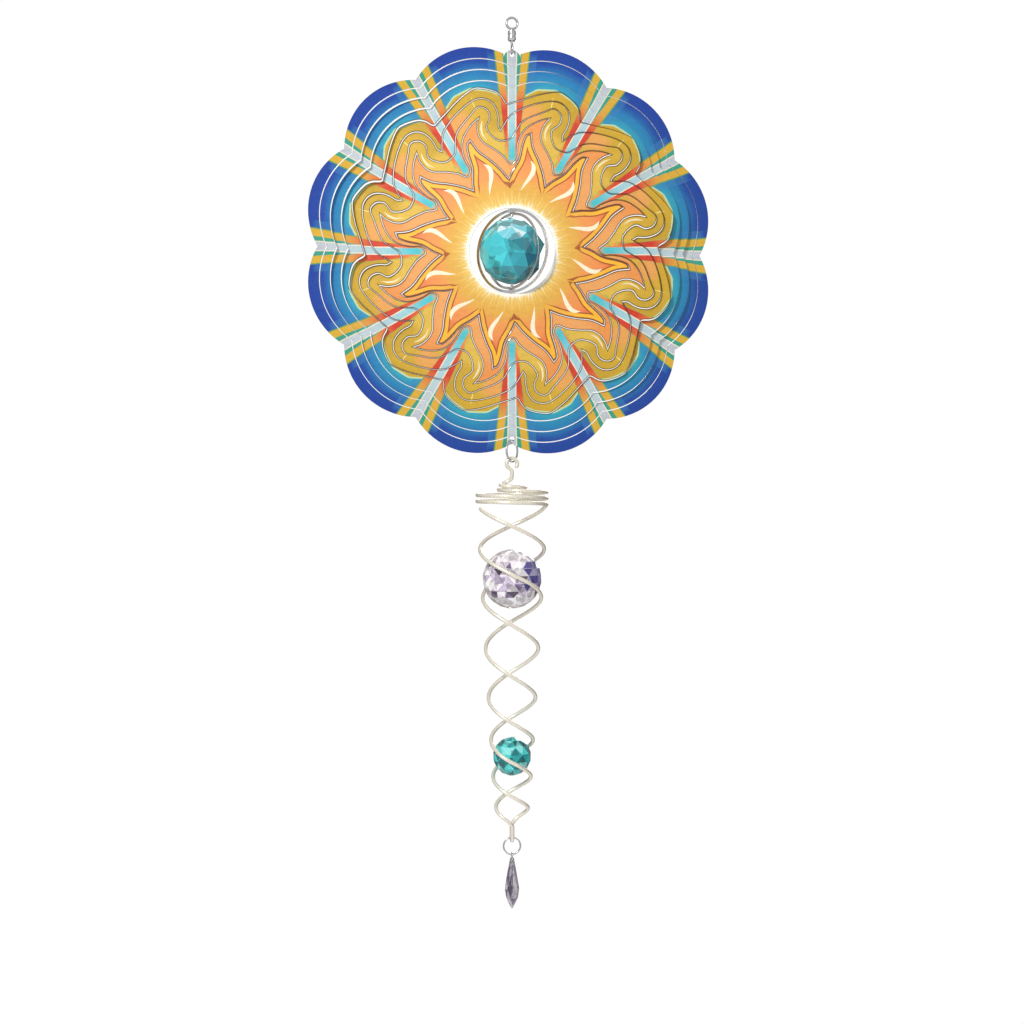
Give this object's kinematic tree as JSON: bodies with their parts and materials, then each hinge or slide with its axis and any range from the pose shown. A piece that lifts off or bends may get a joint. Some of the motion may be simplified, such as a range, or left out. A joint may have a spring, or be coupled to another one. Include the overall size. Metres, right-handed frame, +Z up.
{
  "type": "wind spinner",
  "caption": "Hanging wind spinner: a fanned, slotted sheet-steel sun disc with a faceted centre ball on a swivel, and a spiral wire tail that holds faceted balls and a drop.",
  "frame": {"origin": "where a hook carries the hanging eye, at the top inside of the eye", "axes": "+Z up, the disc's printed face towards -Y, +X to its right seen from the front"},
  "size_m": [0.3046, 0.0552, 0.6721],
  "materials": {
    "printed_steel": "satin print on stainless sheet",
    "bare_steel": "bare, lightly brushed",
    "champagne_wire": "satin champagne plating",
    "teal_glass": "faceted, polished",
    "clear_glass": "faceted, polished"
  },
  "bodies": {
    "hanger": {"swivel_eye": "bare_steel", "swivel_barrel": "bare_steel"},
    "hanger_pin": {"swivel_pin": "bare_steel"},
    "petal_ring_1": {"petal_ring_1": "printed_steel"},
    "petal_ring_2": {"petal_ring_2": "printed_steel"},
    "petal_ring_3": {"petal_ring_3": "printed_steel"},
    "petal_ring_4": {"petal_ring_4": "printed_steel"},
    "petal_ring_5": {"petal_ring_5": "printed_steel"},
    "petal_ring_6": {"petal_ring_6": "printed_steel"},
    "petal_ring_7": {"petal_ring_7": "printed_steel"},
    "petal_ring_8": {"petal_ring_8": "printed_steel"},
    "sun_plate": {"sun_plate": "printed_steel"},
    "inner_ring_1": {"inner_ring_1": "bare_steel"},
    "inner_ring_2": {"inner_ring_2": "bare_steel", "ball_pin_top": "bare_steel", "ball_pin_bottom": "bare_steel"},
    "centre_ball": {"centre_ball": "teal_glass"},
    "tail_ring": {"tail_ring": "bare_steel"},
    "tail": {"tail_eye": "champagne_wire", "tail_coils": "champagne_wire", "tail_strand_1_upper": "champagne_wire", "tail_strand_1_lower": "champagne_wire", "tail_strand_2_lower": "champagne_wire", "tail_strand_2_upper": "champagne_wire"},
    "clear_ball": {"clear_ball": "clear_glass"},
    "teal_ball": {"teal_ball": "teal_glass"},
    "jump_ring": {"jump_ring": "bare_steel"},
    "drop": {"drop_link": "bare_steel", "glass_drop": "clear_glass"}
  },
  "joints": [
    {"name": "spinner_spin", "type": "hinge", "parent": "hanger", "child": "hanger_pin", "pos_m": [0, 0, -0.0167], "axis": [0, 0, 1], "continuous": true},
    {"name": "disc_swing", "type": "hinge", "parent": "hanger_pin", "child": "petal_ring_1", "pos_m": [0, 0, -0.0261], "axis": [1, 0, 0], "range_deg": [-15, 15]},
    {"name": "fan_1", "type": "hinge", "parent": "petal_ring_1", "child": "petal_ring_2", "pos_m": [0, 0, -0.1747], "axis": [0, 0, 1], "range_deg": [-14.5, 15.5]},
    {"name": "fan_2", "type": "hinge", "parent": "petal_ring_2", "child": "petal_ring_3", "pos_m": [0, 0, -0.1747], "axis": [0, 0, 1], "range_deg": [-13, 17]},
    {"name": "fan_3", "type": "hinge", "parent": "petal_ring_3", "child": "petal_ring_4", "pos_m": [0, 0, -0.1747], "axis": [0, 0, 1], "range_deg": [-12.9, 17.1]},
    {"name": "fan_4", "type": "hinge", "parent": "petal_ring_4", "child": "petal_ring_5", "pos_m": [0, 0, -0.1747], "axis": [0, 0, 1], "range_deg": [-12.4, 17.6]},
    {"name": "fan_5", "type": "hinge", "parent": "petal_ring_5", "child": "petal_ring_6", "pos_m": [0, 0, -0.1747], "axis": [0, 0, 1], "range_deg": [-13.6, 16.4]},
    {"name": "fan_6", "type": "hinge", "parent": "petal_ring_6", "child": "petal_ring_7", "pos_m": [0, 0, -0.1747], "axis": [0, 0, 1], "range_deg": [-13.6, 16.4]},
    {"name": "fan_7", "type": "hinge", "parent": "petal_ring_7", "child": "petal_ring_8", "pos_m": [0, 0, -0.1747], "axis": [0, 0, 1], "range_deg": [-13.6, 16.4]},
    {"name": "fan_8", "type": "hinge", "parent": "petal_ring_8", "child": "sun_plate", "pos_m": [0, 0, -0.1747], "axis": [0, 0, 1], "range_deg": [-13.4, 16.6]},
    {"name": "fan_9", "type": "hinge", "parent": "sun_plate", "child": "inner_ring_1", "pos_m": [0, 0, -0.1747], "axis": [0, 0, 1], "range_deg": [-22.5, 47.5]},
    {"name": "fan_10", "type": "hinge", "parent": "inner_ring_1", "child": "inner_ring_2", "pos_m": [0, 0, -0.1747], "axis": [0, 0, 1], "range_deg": [-35, 35]},
    {"name": "centre_ball_spin", "type": "hinge", "parent": "inner_ring_2", "child": "centre_ball", "pos_m": [0, 0, -0.1747], "axis": [0, 0, 1], "continuous": true},
    {"name": "tail_ring_swing", "type": "hinge", "parent": "petal_ring_1", "child": "tail_ring", "pos_m": [0, 0, -0.31685], "axis": [1, 0, 0], "range_deg": [-20, 20]},
    {"name": "tail_swing", "type": "hinge", "parent": "tail_ring", "child": "tail", "pos_m": [0, 0, -0.33325], "axis": [0.6157, 0.788, 0], "range_deg": [-30, 30]},
    {"name": "clear_ball_turn", "type": "hinge", "parent": "tail", "child": "clear_ball", "pos_m": [0, 0, -0.42155], "axis": [0, 0, 1], "continuous": true},
    {"name": "teal_ball_turn", "type": "hinge", "parent": "tail", "child": "teal_ball", "pos_m": [0, 0, -0.55505], "axis": [0, 0, 1], "continuous": true},
    {"name": "jump_ring_swing", "type": "hinge", "parent": "tail", "child": "jump_ring", "pos_m": [0, 0, -0.61865], "axis": [0, 1, 0], "range_deg": [-50, 50]},
    {"name": "drop_swing", "type": "hinge", "parent": "jump_ring", "child": "drop", "pos_m": [0, 0, -0.62905], "axis": [1, 0, 0], "range_deg": [-50, 50]}
  ]
}
